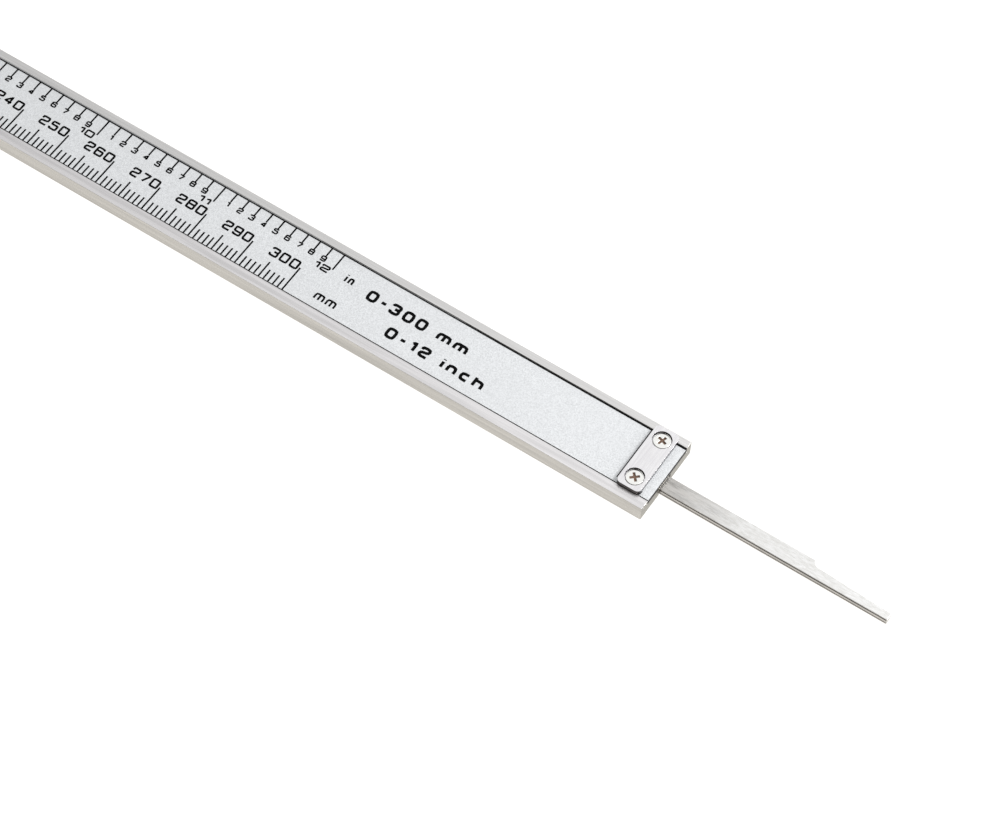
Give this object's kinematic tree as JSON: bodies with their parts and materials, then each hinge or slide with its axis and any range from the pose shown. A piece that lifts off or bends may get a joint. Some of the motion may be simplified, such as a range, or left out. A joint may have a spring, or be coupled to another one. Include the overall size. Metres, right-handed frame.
{
  "type": "digital caliper",
  "caption": "Long digital caliper with a printed scale on its beam, outside and inside jaws, a sliding display unit, a thumb roller, a lock screw and a depth rod.",
  "frame": {"origin": "centre of the bounding box, on the bench plane that the back plate rests on", "axes": "+X along the beam from the fixed jaws to the depth rod, +Y across the beam towards the inside jaws, +Z out of the display side"},
  "size_m": [0.4378, 0.096, 0.0157],
  "materials": {
    "hardened_steel": "fine ground, satin",
    "satin_steel": "satin",
    "rod_steel": "cross ground",
    "screw_steel": "bright plated",
    "dark_screw_steel": "black oxide",
    "knurled_steel": "knurled, bright",
    "scale_print": "printed satin film with a fine metallic grain",
    "circuit_laminate": "solder-masked glass laminate",
    "brass": "machined",
    "spring_brass": "gold plated spring",
    "housing_plastic": "fine moulded texture",
    "face_film": "screen-printed satin film",
    "clear_window": "clear, polished",
    "display_glass": "reflective liquid crystal glass",
    "connector_rubber": "striped conductive rubber",
    "chip_resin": "cast resin blob",
    "switch_metal": "stamped can",
    "power_button_plastic": "moulded",
    "button_plastic": "moulded",
    "cell_steel": "nickel plated",
    "header_plastic": "moulded"
  },
  "bodies": {
    "beam": {"beam": "hardened_steel", "scale_circuit": "circuit_laminate", "scale_label": "scale_print", "end_stop_plate": "satin_steel", "end_stop_screws": "screw_steel"},
    "slider": {"slider_frame": "hardened_steel", "gib_strip": "brass", "gib_screws": "dark_screw_steel", "back_plate": "satin_steel", "back_plate_screws": "screw_steel", "depth_rod": "rod_steel", "depth_rod_screws": "screw_steel", "roller_axle": "screw_steel", "housing": "housing_plastic", "housing_screws": "screw_steel", "face_plate": "face_film", "display_window": "clear_window", "display_panel": "display_glass", "display_connectors": "connector_rubber", "reader_board": "circuit_laminate", "circuit_board": "circuit_laminate", "controller_chip": "chip_resin", "button_switches": "switch_metal", "battery_cell": "cell_steel", "battery_contacts": "spring_brass", "port_header": "header_plastic"},
    "roller": {"thumb_roller": "knurled_steel"},
    "lock_pad": {"lock_pad": "brass"},
    "lock_screw": {"lock_screw": "knurled_steel"},
    "power_button": {"button_power": "power_button_plastic"},
    "zero_button": {"button_zero": "button_plastic"},
    "unit_button": {"button_unit": "button_plastic"},
    "battery_door": {"battery_door": "housing_plastic"},
    "port_cover": {"port_cover": "header_plastic"}
  },
  "joints": [
    {"name": "slider_slide", "type": "slide", "parent": "beam", "child": "slider", "axis": [1, 0, 0], "range_m": [-0.044, 0.261]},
    {"name": "roller_spin", "type": "hinge", "parent": "slider", "child": "roller", "pos_m": [-0.10185, 0.00745, 0.0033], "axis": [0, 0, 1], "continuous": true},
    {"name": "lock_feed", "type": "slide", "parent": "slider", "child": "lock_pad", "axis": [0, -1, 0], "range_m": [-0.0005, 0.00027]},
    {"name": "lock_turn", "type": "hinge", "parent": "lock_pad", "child": "lock_screw", "pos_m": [-0.11985, 0.034, 0.0033], "axis": [0, -1, 0], "range_deg": [-370, 205]},
    {"name": "power_press", "type": "slide", "parent": "slider", "child": "power_button", "axis": [0, 0, -1], "range_m": [0, 0.0005], "stiffness_N_per_m": 1000},
    {"name": "zero_press", "type": "slide", "parent": "slider", "child": "zero_button", "axis": [0, 0, -1], "range_m": [0, 0.0005], "stiffness_N_per_m": 1000},
    {"name": "unit_press", "type": "slide", "parent": "slider", "child": "unit_button", "axis": [0, 0, -1], "range_m": [0, 0.0005], "stiffness_N_per_m": 1000},
    {"name": "battery_door_slide", "type": "slide", "parent": "slider", "child": "battery_door", "axis": [1, 0, 0], "range_m": [0, 0.014]},
    {"name": "port_cover_pull", "type": "slide", "parent": "slider", "child": "port_cover", "axis": [0, 1, 0], "range_m": [0, 0.006]}
  ],
  "couplings": [
    {"joint": "roller_spin", "follows": "slider_slide", "rad_per_m": 219.78},
    {"joint": "lock_turn", "follows": "lock_feed", "rad_per_m": 12566}
  ]
}
